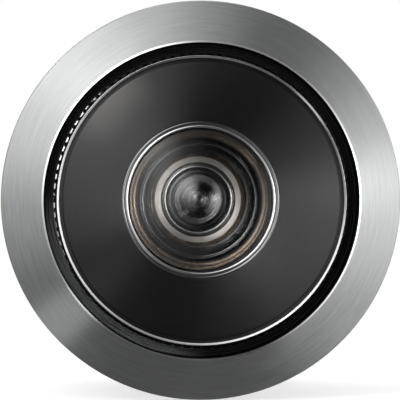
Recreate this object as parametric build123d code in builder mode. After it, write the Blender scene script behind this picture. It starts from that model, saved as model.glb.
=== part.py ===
"""Wide-angle door viewer with a broad dished front, in millimetres, +Z up.

The sight line runs along Y. The visitor's side is -Y, the room side is +Y, and y = 0 is the
outer face of the door leaf. Turned pieces are revolved about Y from half sections drawn in
the XY plane, where x is the radius and y the distance along the sight line.
"""
import os

from build123d import *

# Door leaf that the viewer clamps, and the hole bored through it
door_thickness = 45.0
thinnest_door = 38.0
hole_gap = 0.5

# Clearances and gaps between pieces
thread_clearance = 0.05
lens_clearance = 0.05
seal_clearance = 0.10
pivot_clearance = 0.05
flange_clearance = 0.10
cover_gap = 0.35
bezel_rim_gap = 0.15
barrel_end_gap = 1.0
tube_end_gap = 1.0
neck_gap = 0.6
baffle_end_gap = 0.8

# Front head: pressed bezel, gasket and the flange behind them
head_height = 5.2
bezel_diameter = 50.0
bezel_face_width = 5.0
bezel_side_height = 2.8
bezel_sheet = 0.7
bezel_bevel = 0.3
bezel_edge_round = 0.3
groove_width = 1.6
groove_seal_height = 0.5
housing_seal_width = 1.5
gasket_thickness = 0.6
gasket_margin = 1.4
gasket_setback = 0.5
flange_thickness = 1.2

# Dished objective housing with its ring of cut teeth
rim_width = 0.3
rim_step = 0.25
rim_ledge = 0.3
rim_band_height = 0.6
dish_wall = 0.6
tooth_count = 96
tooth_groove_width = 0.42
tooth_groove_depth = 0.3
spigot_length = 9.4

# Barrel and its internal thread
barrel_diameter = 27.0
barrel_wall = 1.05
tube_wall = 1.9
neck_wall = 1.1
barrel_chamfer = 0.4

# Objective lens, the ring that holds it, and its seat
ring_land = 0.5
ring_bead = 0.3
ring_bead_rise = 0.15
ring_lip = 0.8
ring_wall = 0.4
ring_thread_length = 1.5
lens_shoulder = 0.7
front_lens_edge = 4.6
front_lens_rise = 0.7
front_lens_centre = 1.0
front_lens_land = 0.35
lens_seal_thickness = 0.4
seat_ring_width = 1.25
seat_ring_height = 1.4
bowl_margin = 0.1

# Second lens in its cell
cell_wall = 2.6
cell_ring_depth = 0.2
cell_ring_width = 0.67
cell_ring_height = 0.9
cell_ring_bevel = 0.2
second_lens_edge = 3.0
second_lens_rise = 0.5
second_lens_centre = 0.97
second_bowl_margin = 1.7
cell_lip_width = 1.2
cell_lip_height = 0.8

# Third lens, its spacer and the stop at the end of the housing
spacer_width = 1.5
spacer_height = 1.2
third_lens_edge = 2.2
third_lens_centre = 1.2
third_lens_land = 1.6
stop_lip_width = 2.3
stop_lip_height = 1.0

# Room side: gasket, rosette and the flange of the room tube
rosette_diameter = 42.0
rosette_web = 1.2
rosette_side_height = 1.6
rosette_height = 2.8
rosette_edge_round = 0.4
rosette_lip = 0.7
room_flange_width = 3.6
room_flange_thickness = 1.5
coin_slot_width = 2.0
coin_slot_depth = 0.8

# Eyepiece in the room tube
eye_mouth_wall = 0.4
eye_pocket_wall = 1.6
eye_cone_height = 2.7
eye_shoulder_width = 1.0
eye_shoulder_height = 1.2
eye_lens_recess = 5.0
eye_lens_edge = 2.2
eye_lens_rise = 1.2
eye_ring_width = 1.2
eye_ring_height = 1.2
eye_notch_width = 1.2
eye_notch_depth = 0.6
baffle_wall = 0.7
baffle_fin_depth = 0.9
baffle_fin_thickness = 0.5
baffle_fins = 4

# Swinging cover and the rivet it hangs from
cover_margin = 1.0
cover_thickness = 1.2
cover_ear_diameter = 6.4
cover_tab_width = 6.0
cover_tab_length = 3.0
cover_edge_round = 0.3
cover_panel_margin = 3.0
cover_panel_rise = 0.4
pivot_boss_height = 0.6
pivot_diameter = 2.8
pivot_seat_depth = 2.0
pivot_head_diameter = 4.8
pivot_head_height = 0.9
pivot_head_round = 0.5
pivot_head_gap = 0.1

# Places along the sight line in the front head, negative towards the visitor
flange_back = -gasket_thickness
flange_front = flange_back - flange_thickness
web_front = flange_front - bezel_sheet
crest = -head_height
bezel_side_top = -bezel_rim_gap - bezel_side_height

# Radii in the front head
bezel_radius = bezel_diameter / 2
crest_radius = bezel_radius - bezel_face_width
mouth_radius = crest_radius - bezel_bevel
housing_radius = mouth_radius - groove_width
flange_radius = bezel_radius - bezel_sheet - flange_clearance

# Radii of the barrel and of what screws into it
barrel_radius = barrel_diameter / 2
bore_radius = barrel_radius - barrel_wall
thread_radius = bore_radius - thread_clearance
tube_bore_radius = thread_radius - tube_wall
neck_radius = tube_bore_radius - neck_gap
cell_bore_radius = neck_radius - neck_wall
cell_radius = cell_bore_radius - lens_clearance
front_pocket_radius = cell_bore_radius + lens_shoulder
front_lens_radius = front_pocket_radius - lens_clearance
ring_radius = front_pocket_radius + ring_wall
housing_seal_radius = thread_radius + seal_clearance + housing_seal_width
web_inner_radius = housing_seal_radius + seal_clearance
gasket_bore_radius = barrel_radius + hole_gap + gasket_setback

# The dish falls from its rim to the ring, leaving dish_wall over the corner of the spigot
dish_radius = housing_radius - rim_width - rim_ledge
dish_top = crest + rim_step
corner_top = web_front - dish_wall
dish_slope = (corner_top - dish_top) / (dish_radius - thread_radius)
dish_bottom = corner_top + dish_slope * (thread_radius - ring_radius)

# Places of the lens stack, from the ring inwards
ring_thread_end = dish_bottom + ring_lip + ring_thread_length
front_lens_front = dish_bottom + ring_lip
front_lens_back = front_lens_front + front_lens_edge
shoulder = front_lens_back + lens_seal_thickness
seat_ring_back = front_lens_back + seat_ring_height
second_ring_front = seat_ring_back + cell_ring_depth
second_lens_front = second_ring_front + cell_ring_height
second_lens_back = second_lens_front + second_lens_edge
cell_back = second_lens_back + cell_lip_height
third_lens_front = cell_back + spacer_height
third_lens_back = third_lens_front + third_lens_edge
neck_end = third_lens_back + stop_lip_height
spigot_end = web_front + spigot_length
seat_ring_inner = cell_radius - seat_ring_width
bowl_radius = seat_ring_inner - bowl_margin
ring_opening = ring_radius - ring_land - ring_bead
cell_pocket_radius = cell_radius - cell_wall
second_lens_radius = cell_pocket_radius - lens_clearance
second_opening = second_lens_radius - cell_ring_width

# Places on the room side
barrel_end = thinnest_door - barrel_end_gap
tube_length = thinnest_door - spigot_end - tube_end_gap
tube_front = door_thickness - tube_length
rosette_back = door_thickness + gasket_thickness
web_back = rosette_back + rosette_web
room_flange_top = web_back + room_flange_thickness
rosette_radius = rosette_diameter / 2
room_flange_radius = thread_radius + room_flange_width
recess_radius = room_flange_radius + flange_clearance
rosette_side_top = rosette_back + rosette_side_height
rosette_crest = rosette_back + rosette_height
eye_mouth_radius = thread_radius - eye_mouth_wall
eye_pocket_radius = tube_bore_radius - eye_pocket_wall
eye_lens_radius = eye_pocket_radius - lens_clearance
eye_cone_bottom = room_flange_top - eye_cone_height
eye_lens_back = room_flange_top - eye_lens_recess
eye_lens_front = eye_lens_back - eye_lens_edge
eye_shoulder_front = eye_lens_front - eye_shoulder_height
eye_opening = eye_lens_radius - eye_ring_width
baffle_front = tube_front + (neck_end - spigot_end) - tube_end_gap + baffle_end_gap
baffle_radius = tube_bore_radius - lens_clearance
baffle_length = eye_shoulder_front - baffle_front
pivot_height = (recess_radius + rosette_radius) / 2
boss_top = rosette_crest + pivot_boss_height
cover_front = boss_top + cover_gap
cover_back = cover_front + cover_thickness
pivot_head_front = cover_back + pivot_head_gap
pivot_radius = pivot_diameter / 2

os.makedirs("parts", exist_ok=True)

# Bezel: pressed sheet with a flat rim wall, a sloping face and a web under the housing
with BuildPart() as bezel_ring:
    with BuildSketch(Plane.XY):
        with BuildLine():
            Polyline(
                (bezel_radius, -bezel_rim_gap),
                (bezel_radius, bezel_side_top),
                (crest_radius, crest),
                (mouth_radius, crest + bezel_bevel),
                (mouth_radius, web_front),
                (web_inner_radius, web_front),
                (web_inner_radius, flange_front),
                (mouth_radius + bezel_sheet, flange_front),
                (mouth_radius + bezel_sheet, crest + bezel_bevel + bezel_sheet),
                (bezel_radius - bezel_sheet, bezel_side_top + bezel_sheet),
                (bezel_radius - bezel_sheet, -bezel_rim_gap),
                close=True,
            )
        make_face()
    revolve(axis=Axis.Y)
    outer_edges = bezel_ring.edges().filter_by(GeomType.CIRCLE).filter_by(
        lambda edge: abs(edge.radius - bezel_radius) < 0.001
    )
    fillet(outer_edges.sort_by(Axis.Y)[0], bezel_edge_round)

# Black seal that lies in the bottom of the groove round the housing
with BuildPart() as groove_seal:
    with BuildSketch(Plane.XY):
        with BuildLine():
            Polyline(
                (housing_radius + seal_clearance, web_front),
                (mouth_radius - seal_clearance, web_front),
                (mouth_radius - seal_clearance, web_front - groove_seal_height / 2),
                (mouth_radius - groove_width / 2, web_front - groove_seal_height),
                (housing_radius + seal_clearance, web_front - groove_seal_height / 2),
                close=True,
            )
        make_face()
    revolve(axis=Axis.Y)

# Housing: dish, toothed side wall, threaded spigot and the narrower neck behind it
with BuildPart() as objective_housing:
    with BuildSketch(Plane.XY):
        with BuildLine():
            Polyline(
                (housing_radius, web_front),
                (housing_radius, crest),
                (housing_radius - rim_width, crest),
                (housing_radius - rim_width, dish_top),
                (dish_radius, dish_top),
                (ring_radius, dish_bottom),
                (ring_radius, ring_thread_end),
                (front_pocket_radius, ring_thread_end),
                (front_pocket_radius, shoulder),
                (cell_bore_radius, shoulder),
                (cell_bore_radius, third_lens_back),
                (cell_bore_radius - stop_lip_width, third_lens_back),
                (cell_bore_radius - stop_lip_width, neck_end),
                (neck_radius, neck_end),
                (neck_radius, spigot_end),
                (thread_radius, spigot_end),
                (thread_radius, web_front),
                close=True,
            )
        make_face()
    revolve(axis=Axis.Y)
    # A ring of upright V grooves leaves the teeth standing below the plain rim band
    with BuildSketch(Plane.XZ.offset(-web_front)):
        with PolarLocations(housing_radius, tooth_count):
            Polygon(
                (-tooth_groove_depth, 0),
                (tooth_groove_depth, -tooth_groove_width),
                (tooth_groove_depth, tooth_groove_width),
                align=None,
            )
    extrude(amount=web_front - crest - rim_band_height, mode=Mode.SUBTRACT)

# Flat seal round the root of the spigot
with BuildPart() as housing_seal:
    with BuildSketch(Plane.XZ.offset(-flange_front)):
        Circle(housing_seal_radius)
        Circle(thread_radius + seal_clearance, mode=Mode.SUBTRACT)
    extrude(amount=bezel_sheet)

# Ring that holds the front lens: dull outer land, polished bead, threaded skirt
with BuildPart() as objective_ring:
    with BuildSketch(Plane.XY):
        with BuildLine():
            Polyline(
                (ring_radius, dish_bottom),
                (ring_radius - ring_land, dish_bottom),
                (ring_radius - ring_land, dish_bottom - ring_bead_rise),
                (ring_opening + ring_bead / 2, dish_bottom - ring_bead_rise),
                (ring_opening, dish_bottom),
                (ring_opening, front_lens_front),
                (front_pocket_radius, front_lens_front),
                (front_pocket_radius, ring_thread_end),
                (ring_radius, ring_thread_end),
                close=True,
            )
        make_face()
    revolve(axis=Axis.Y)

# Front lens: gently domed outside, deeply hollowed behind
with BuildPart() as objective_lens:
    with BuildSketch(Plane.XY):
        with BuildLine():
            dome = (0, front_lens_front - front_lens_rise)
            dome_edge = (front_lens_radius - front_lens_land, front_lens_front)
            bowl_top = (0, front_lens_front - front_lens_rise + front_lens_centre)
            bowl_edge = (bowl_radius, front_lens_back)
            TangentArc(dome, dome_edge, tangent=(1, 0))
            Polyline(
                dome_edge,
                (front_lens_radius, front_lens_front),
                (front_lens_radius, front_lens_back),
                bowl_edge,
            )
            TangentArc(bowl_top, bowl_edge, tangent=(1, 0))
            Line(bowl_top, dome)
        make_face()
    revolve(axis=Axis.Y)

# Rubber ring under the edge of the front lens
with BuildPart() as lens_seal:
    with BuildSketch(Plane.XZ.offset(-front_lens_back)):
        Circle(front_lens_radius)
        Circle(cell_bore_radius + lens_clearance, mode=Mode.SUBTRACT)
    extrude(amount=-lens_seal_thickness)

# Brass ring between the front lens and the cell of the second lens
with BuildPart() as lens_seat_ring:
    with BuildSketch(Plane.XZ.offset(-front_lens_back)):
        Circle(cell_radius)
        Circle(seat_ring_inner, mode=Mode.SUBTRACT)
    extrude(amount=-seat_ring_height)

# Brass cell that carries the second lens
with BuildPart() as second_lens_cell:
    with BuildSketch(Plane.XY):
        with BuildLine():
            Polyline(
                (cell_radius, seat_ring_back),
                (cell_pocket_radius, seat_ring_back),
                (cell_pocket_radius, second_lens_back),
                (cell_pocket_radius - cell_lip_width, second_lens_back),
                (cell_pocket_radius - cell_lip_width, cell_back),
                (cell_radius, cell_back),
                close=True,
            )
        make_face()
    revolve(axis=Axis.Y)

# Ring that holds the second lens, with a bevel round its opening
with BuildPart() as second_lens_ring:
    with BuildSketch(Plane.XY):
        with BuildLine():
            Polyline(
                (second_lens_radius, second_ring_front),
                (second_opening + cell_ring_bevel, second_ring_front),
                (second_opening, second_ring_front + cell_ring_bevel),
                (second_opening, second_lens_front),
                (second_lens_radius, second_lens_front),
                close=True,
            )
        make_face()
    revolve(axis=Axis.Y)

# Second lens, shaped as the first
with BuildPart() as second_lens:
    with BuildSketch(Plane.XY):
        with BuildLine():
            dome = (0, second_lens_front - second_lens_rise)
            dome_edge = (second_opening, second_lens_front)
            bowl_top = (0, second_lens_front - second_lens_rise + second_lens_centre)
            bowl_edge = (second_lens_radius - second_bowl_margin, second_lens_back)
            TangentArc(dome, dome_edge, tangent=(1, 0))
            Polyline(
                dome_edge,
                (second_lens_radius, second_lens_front),
                (second_lens_radius, second_lens_back),
                bowl_edge,
            )
            TangentArc(bowl_top, bowl_edge, tangent=(1, 0))
            Line(bowl_top, dome)
        make_face()
    revolve(axis=Axis.Y)

# Black spacer between the cell and the third lens
with BuildPart() as spacer_ring:
    with BuildSketch(Plane.XZ.offset(-cell_back)):
        Circle(cell_radius)
        Circle(cell_radius - spacer_width, mode=Mode.SUBTRACT)
    extrude(amount=-spacer_height)

# Third lens, hollow on both faces
with BuildPart() as third_lens:
    with BuildSketch(Plane.XY):
        with BuildLine():
            third_edge = cell_radius - third_lens_land
            third_hollow = (third_lens_edge - third_lens_centre) / 2
            TangentArc(
                (0, third_lens_front + third_hollow), (third_edge, third_lens_front), tangent=(1, 0)
            )
            Polyline(
                (third_edge, third_lens_front),
                (cell_radius, third_lens_front),
                (cell_radius, third_lens_back),
                (third_edge, third_lens_back),
            )
            TangentArc(
                (0, third_lens_back - third_hollow), (third_edge, third_lens_back), tangent=(1, 0)
            )
            Line((0, third_lens_back - third_hollow), (0, third_lens_front + third_hollow))
        make_face()
    revolve(axis=Axis.Y)

# Front barrel: flange behind the bezel and the tube through the door
with BuildPart() as front_barrel:
    with BuildSketch(Plane.XY):
        with BuildLine():
            Polyline(
                (bore_radius, flange_front),
                (flange_radius, flange_front),
                (flange_radius, flange_back),
                (barrel_radius, flange_back),
                (barrel_radius, barrel_end - barrel_chamfer),
                (barrel_radius - barrel_chamfer, barrel_end),
                (bore_radius, barrel_end),
                close=True,
            )
        make_face()
    revolve(axis=Axis.Y)

# Gasket between the flange and the outer face of the door
with BuildPart() as front_gasket:
    with BuildSketch(Plane.XZ):
        Circle(flange_radius - gasket_margin)
        Circle(gasket_bore_radius, mode=Mode.SUBTRACT)
    extrude(amount=gasket_thickness)

# Gasket between the rosette and the room face of the door
with BuildPart() as rear_gasket:
    with BuildSketch(Plane.XZ.offset(-rosette_back)):
        Circle(rosette_radius - gasket_margin)
        Circle(gasket_bore_radius, mode=Mode.SUBTRACT)
    extrude(amount=gasket_thickness)

# Rosette: sloping face, recess for the flange of the tube, and a boss for the rivet
with BuildPart() as rear_rosette:
    with BuildSketch(Plane.XY):
        with BuildLine():
            Polyline(
                (thread_radius + pivot_clearance, rosette_back),
                (rosette_radius, rosette_back),
                (rosette_radius, rosette_side_top),
                (recess_radius + rosette_lip, rosette_crest),
                (recess_radius, rosette_crest),
                (recess_radius, web_back),
                (thread_radius + pivot_clearance, web_back),
                close=True,
            )
        make_face()
    revolve(axis=Axis.Y)
    rim_edges = rear_rosette.edges().filter_by(GeomType.CIRCLE).filter_by(
        lambda edge: abs(edge.radius - rosette_radius) < 0.001
    )
    fillet(rim_edges.sort_by(Axis.Y)[-1], rosette_edge_round)
    with BuildSketch(Plane.XZ.offset(-boss_top)):
        with Locations((0, pivot_height)):
            Circle(min(cover_ear_diameter / 2, pivot_height - recess_radius))
    extrude(amount=boss_top - rosette_side_top)
    with BuildSketch(Plane.XZ.offset(-boss_top)):
        with Locations((0, pivot_height)):
            Circle(pivot_radius)
    extrude(amount=pivot_seat_depth, mode=Mode.SUBTRACT)

# Washer that carries the cover clear of the rosette
with BuildPart() as cover_washer:
    with BuildSketch(Plane.XZ.offset(-cover_front)):
        with Locations((0, pivot_height)):
            Circle(pivot_head_diameter / 2)
            Circle(pivot_radius, mode=Mode.SUBTRACT)
    extrude(amount=cover_gap)

# Rivet: shank seated in the rosette and a domed head over the cover
with BuildPart() as cover_pivot:
    with BuildSketch(Plane.XZ.offset(-pivot_head_front)):
        with Locations((0, pivot_height)):
            Circle(pivot_radius)
    extrude(amount=pivot_head_front - boss_top + pivot_seat_depth)
    with BuildSketch(Plane.XZ.offset(-pivot_head_front - pivot_head_height)):
        with Locations((0, pivot_height)):
            Circle(pivot_head_diameter / 2)
    extrude(amount=pivot_head_height)
    fillet(cover_pivot.edges().sort_by(Axis.Y)[-1], pivot_head_round)

# Cover: disc over the eyepiece, ear for the rivet, thumb tab and a raised panel
with BuildPart() as privacy_cover:
    with BuildSketch(Plane.XZ.offset(-cover_back)):
        Circle(eye_mouth_radius + cover_margin)
        with Locations((0, pivot_height)):
            Circle(cover_ear_diameter / 2)
        make_hull()
        with Locations((0, -eye_mouth_radius - cover_margin)):
            SlotOverall(cover_tab_length * 2 + cover_tab_width / 2, cover_tab_width, rotation=90)
        with Locations((0, pivot_height)):
            Circle(pivot_radius + pivot_clearance, mode=Mode.SUBTRACT)
    extrude(amount=cover_thickness)
    fillet(privacy_cover.faces().sort_by(Axis.Y)[-1].outer_wire().edges(), cover_edge_round)
    with BuildSketch(Plane.XZ.offset(-cover_back - cover_panel_rise)):
        Circle(eye_mouth_radius + cover_margin - cover_panel_margin)
    extrude(amount=cover_panel_rise)

# Room tube: screws into the barrel, and its flange draws the rosette to the door
with BuildPart() as rear_barrel:
    with BuildSketch(Plane.XY):
        with BuildLine():
            Polyline(
                (tube_bore_radius, tube_front),
                (thread_radius - barrel_chamfer, tube_front),
                (thread_radius, tube_front + barrel_chamfer),
                (thread_radius, web_back),
                (room_flange_radius, web_back),
                (room_flange_radius, room_flange_top),
                (eye_mouth_radius, room_flange_top),
                (eye_pocket_radius, eye_cone_bottom),
                (eye_pocket_radius, eye_lens_front),
                (eye_pocket_radius - eye_shoulder_width, eye_lens_front),
                (eye_pocket_radius - eye_shoulder_width, eye_shoulder_front),
                (tube_bore_radius, eye_shoulder_front),
                close=True,
            )
        make_face()
    revolve(axis=Axis.Y)
    # Two slots across the flange take a coin or a flat key
    with BuildSketch(Plane.XZ.offset(-room_flange_top)):
        with PolarLocations(eye_mouth_radius + room_flange_width, 2):
            Rectangle(room_flange_width * 2, coin_slot_width)
    extrude(amount=coin_slot_depth, mode=Mode.SUBTRACT)

# Black baffle tube with fins that stop stray light
with BuildPart() as light_baffle:
    with BuildSketch(Plane.XY):
        with Locations((baffle_radius, baffle_front)):
            Rectangle(baffle_wall, baffle_length, align=(Align.MAX, Align.MIN))
        for fin in range(baffle_fins):
            with Locations((baffle_radius, baffle_front + fin * baffle_length / baffle_fins)):
                Rectangle(
                    baffle_wall + baffle_fin_depth,
                    baffle_fin_thickness,
                    align=(Align.MAX, Align.MIN),
                )
    revolve(axis=Axis.Y)

# Eyepiece lens, domed on both faces
with BuildPart() as eyepiece_lens:
    with BuildSketch(Plane.XY):
        with BuildLine():
            TangentArc(
                (0, eye_lens_front - eye_lens_rise), (eye_opening, eye_lens_front), tangent=(1, 0)
            )
            Polyline(
                (eye_opening, eye_lens_front),
                (eye_lens_radius, eye_lens_front),
                (eye_lens_radius, eye_lens_back),
                (eye_opening, eye_lens_back),
            )
            TangentArc(
                (0, eye_lens_back + eye_lens_rise), (eye_opening, eye_lens_back), tangent=(1, 0)
            )
            Line((0, eye_lens_back + eye_lens_rise), (0, eye_lens_front - eye_lens_rise))
        make_face()
    revolve(axis=Axis.Y)

# Ring that holds the eyepiece lens, with two notches for a key
with BuildPart() as eyepiece_ring:
    with BuildSketch(Plane.XZ.offset(-eye_lens_back - eye_ring_height)):
        Circle(eye_lens_radius)
        Circle(eye_opening, mode=Mode.SUBTRACT)
    extrude(amount=eye_ring_height)
    with BuildSketch(Plane.XZ.offset(-eye_lens_back - eye_ring_height)):
        with PolarLocations(eye_lens_radius, 2, start_angle=90):
            Rectangle(eye_ring_width * 4, eye_notch_width)
    extrude(amount=eye_notch_depth, mode=Mode.SUBTRACT)

# Names and files
bezel_ring.part.label = "bezel_ring"
export_step(bezel_ring.part, "parts/bezel_ring.step")
groove_seal.part.label = "groove_seal"
export_step(groove_seal.part, "parts/groove_seal.step")
objective_housing.part.label = "objective_housing"
export_step(objective_housing.part, "parts/objective_housing.step")
housing_seal.part.label = "housing_seal"
export_step(housing_seal.part, "parts/housing_seal.step")
objective_ring.part.label = "objective_ring"
export_step(objective_ring.part, "parts/objective_ring.step")
objective_lens.part.label = "objective_lens"
export_step(objective_lens.part, "parts/objective_lens.step")
lens_seal.part.label = "lens_seal"
export_step(lens_seal.part, "parts/lens_seal.step")
lens_seat_ring.part.label = "lens_seat_ring"
export_step(lens_seat_ring.part, "parts/lens_seat_ring.step")
second_lens_cell.part.label = "second_lens_cell"
export_step(second_lens_cell.part, "parts/second_lens_cell.step")
second_lens_ring.part.label = "second_lens_ring"
export_step(second_lens_ring.part, "parts/second_lens_ring.step")
second_lens.part.label = "second_lens"
export_step(second_lens.part, "parts/second_lens.step")
spacer_ring.part.label = "spacer_ring"
export_step(spacer_ring.part, "parts/spacer_ring.step")
third_lens.part.label = "third_lens"
export_step(third_lens.part, "parts/third_lens.step")
front_barrel.part.label = "front_barrel"
export_step(front_barrel.part, "parts/front_barrel.step")
front_gasket.part.label = "front_gasket"
export_step(front_gasket.part, "parts/front_gasket.step")
rear_gasket.part.label = "rear_gasket"
export_step(rear_gasket.part, "parts/rear_gasket.step")
rear_rosette.part.label = "rear_rosette"
export_step(rear_rosette.part, "parts/rear_rosette.step")
cover_washer.part.label = "cover_washer"
export_step(cover_washer.part, "parts/cover_washer.step")
cover_pivot.part.label = "cover_pivot"
export_step(cover_pivot.part, "parts/cover_pivot.step")
privacy_cover.part.label = "privacy_cover"
export_step(privacy_cover.part, "parts/privacy_cover.step")
rear_barrel.part.label = "rear_barrel"
export_step(rear_barrel.part, "parts/rear_barrel.step")
light_baffle.part.label = "light_baffle"
export_step(light_baffle.part, "parts/light_baffle.step")
eyepiece_lens.part.label = "eyepiece_lens"
export_step(eyepiece_lens.part, "parts/eyepiece_lens.step")
eyepiece_ring.part.label = "eyepiece_ring"
export_step(eyepiece_ring.part, "parts/eyepiece_ring.step")
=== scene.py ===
import math

import bpy
import numpy as np
from mathutils import Matrix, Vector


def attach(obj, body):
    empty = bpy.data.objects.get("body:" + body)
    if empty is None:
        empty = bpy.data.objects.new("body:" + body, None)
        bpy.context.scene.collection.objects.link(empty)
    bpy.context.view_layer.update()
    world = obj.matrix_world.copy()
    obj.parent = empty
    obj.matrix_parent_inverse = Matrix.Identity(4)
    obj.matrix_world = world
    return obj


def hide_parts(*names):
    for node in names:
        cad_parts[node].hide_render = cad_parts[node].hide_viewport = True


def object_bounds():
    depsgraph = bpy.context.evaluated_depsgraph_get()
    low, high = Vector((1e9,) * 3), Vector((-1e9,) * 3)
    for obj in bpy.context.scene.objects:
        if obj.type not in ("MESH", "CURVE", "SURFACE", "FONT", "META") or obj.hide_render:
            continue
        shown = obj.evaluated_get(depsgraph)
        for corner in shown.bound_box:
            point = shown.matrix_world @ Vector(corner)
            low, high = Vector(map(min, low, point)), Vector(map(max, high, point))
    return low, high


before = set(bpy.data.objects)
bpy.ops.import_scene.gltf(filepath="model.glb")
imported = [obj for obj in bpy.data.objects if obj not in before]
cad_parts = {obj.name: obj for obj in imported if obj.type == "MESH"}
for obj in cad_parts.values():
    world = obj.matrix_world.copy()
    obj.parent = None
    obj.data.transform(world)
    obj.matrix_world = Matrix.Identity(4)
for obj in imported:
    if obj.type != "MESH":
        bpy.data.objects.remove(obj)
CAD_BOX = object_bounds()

# Lengths in this script are millimetres and depths of relief microns; Blender's own are metres
MM = 0.001
MICRON = 1e-6

# Keeps divisions off zero
TINY = 1e-9

# Glass stands this far off what holds it
GLASS_GAP = 0.02
LENS_ROWS = 16

# Corner radii of turned pieces; a row that names none has EDGE
CRISP = 0.02
FINE = 0.03
EDGE = 0.05
SOFT = 0.1
ARC_STEPS = 4
SEGMENTS = 288
SHARP_ANGLE = math.radians(32)
CROWN_ROWS = 9

# Points this near a wall or a level count as on it
ON_WALL = 0.01

# Bezel and groove
BEZEL_R = 25.0
BEZEL_ROUND = 0.18
BEVEL_R = 19.98
BEVEL_FALL = 0.09
CREST_Y = -5.2
BEZEL_SIDE_Y = -2.95
BEZEL_BACK_Y = -0.15
BEZEL_SHEET = 0.7
SHEET_BEVEL = 0.3
MOUTH_R = 19.7
MOUTH_CHAMFER = 0.03
WEB_Y = -2.5
WEB_BACK_Y = -1.8
WEB_R = 14.1
HOUSING_R = 18.1

# Seal in the groove; its ribs are given by how far out they start and how high over the web
SEAL_GAP = 0.1
SEAL_INNER_HEIGHT = 0.3
SEAL_TOP_OUT = 0.35
SEAL_TOP = 0.48
SEAL_OUTER_HEIGHT = 0.32
SEAL_RIBS = ((0.55, 0.4), (0.85, 0.38), (1.2, 0.34))
RIB_STEP = 0.05
RIB_RISE = 0.1

# Dish, its rim and the ring of teeth
RIM_R = 17.8
RIM_LAND = 0.06
RIM_BEVEL = 0.12
RIM_STEP_Y = -4.78
DISH_R = 17.32
DISH_WALL_LEAN = 0.02
DISH_TOP_Y = -4.93
DISH_CROWN = 0.3
DISH_ROWS = 18
DISH_BOTTOM_Y = -2.193
TEETH = 96
TOOTH_PITCH = 2 * math.pi / TEETH
TOOTH_DEPTH = 0.38
TOOTH_HALF = 0.24
BAND_R = 18.5
BAND_TOP_Y = -4.5
BAND_BOTTOM_Y = -3.2
BAND_BEVEL = 0.18
BAND_FALL = 0.08
BAND_STEP = 0.02
BAND_STEP_HEIGHT = 0.06

# Ring round the front lens: a dull lip outside, a bright bead inside
RING_R = 9.9
RING_END_Y = 0.107
RING_STEP = 0.02
LIP_R = 9.84
LIP_WIDTH = 0.2
LIP_Y = DISH_BOTTOM_Y + 0.04
LIP_RISE = 0.018
BEAD_R = 9.38
BEAD_WIDTH = 0.24
BEAD_RISE = 0.028
LENS_OPENING = 9.1
OPENING_SINK = 0.05

# Bores of the housing, from the front inwards
POCKET_R = 9.5
SHOULDER_Y = 3.607
CELL_BORE_R = 8.8
STOP_R = 6.5
THIRD_BACK_Y = 12.907
NECK_Y = 13.907
NECK_R = 9.9
SPIGOT_Y = 6.9
THREAD_R = 12.4

# Front lens, and the brown ring it rests on
LENS_R = 9.45
LENS_SEAT_Y = -1.393
LENS_FRONT_Y = LENS_SEAT_Y + GLASS_GAP
SEAT_Y = 3.207
LENS_BACK_Y = SEAT_Y - GLASS_GAP
LENS_RISE = 0.7
LENS_CENTRE = 1.0
BOWL_R = 7.4
BOWL_DEPTH = LENS_BACK_Y - LENS_FRONT_Y + LENS_RISE - LENS_CENTRE
BOWL_ROWS = 40
GROUND_EDGE = 0.2
SEAT_IN_R = 7.5
SEAT_CROWN = 0.3
SEAT_EDGE_Y = SEAT_Y + SEAT_CROWN
SEAT_ROWS = 13

# Second cell with its lens and ring, then the third lens
CELL_R = 8.75
CELL_FACE_Y = 4.607
CELL_POCKET_R = 6.15
CELL_BEVEL = 0.08
CELL_LINE = 0.17
CELL_LINE_LAP = 0.1
CELL_BACK_Y = 9.507
SECOND_R = 6.1
SECOND_OPENING = 5.43
SECOND_SEAT_Y = 5.707
SECOND_FRONT_Y = SECOND_SEAT_Y + GLASS_GAP
SECOND_LIP_Y = 8.707
SECOND_LIP_R = 4.95
SECOND_BACK_Y = SECOND_LIP_Y - GLASS_GAP
SECOND_RISE = 0.5
SECOND_CENTRE = 0.97
SECOND_BOWL_R = 4.4
SECOND_BOWL_DEPTH = SECOND_BACK_Y - SECOND_FRONT_Y + SECOND_RISE - SECOND_CENTRE
SECOND_BOWL_ROWS = 32
SECOND_RING_Y = 5.057
SECOND_BEAD_OUT_R = SECOND_OPENING + 0.32
SECOND_BEAD_IN_R = SECOND_OPENING + 0.06
SECOND_BEAD_HEIGHT = 0.1
SECOND_BEAD_RISE = 0.03
THIRD_SEAT_Y = 10.707
THIRD_FRONT_Y = THIRD_SEAT_Y + GLASS_GAP
THIRD_EDGE_R = 7.15
THIRD_HOLLOW = 0.5
SPACER_R = 7.25
SPACER_GROOVES = (THIRD_SEAT_Y - 0.4, CELL_BACK_Y + 0.3)
GROOVE_HALF = 0.15
GROOVE_DEPTH = 0.25

# Front barrel and the seals on it
FLANGE_R = 24.2
FLANGE_FRONT_Y = -1.8
FLANGE_BACK_Y = -0.6
FLANGE_ROUND = 0.15
BARREL_R = 13.5
BORE_R = 12.45
BARREL_END_Y = 37.0
BARREL_CHAMFER = 0.4
GASKET_BORE_R = 14.5
GASKET_MARGIN = 1.4
GASKET_ROUNDS = (SOFT, 0.2)
HOUSING_SEAL_R = 14.0

# Screw thread of the room tube and of the barrel's bore, right-hand
PITCH = 1.5
THREAD_DEPTH = 0.7
BORE_THREAD_DEPTH = 0.45
THREAD_CREST = 0.12
THREAD_ROOT = 0.25
THREAD_ROWS = 14
THREAD_SEGMENTS = 120
THREAD_END_Y = 43.6
BORE_THREAD_Y = 16.0

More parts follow.
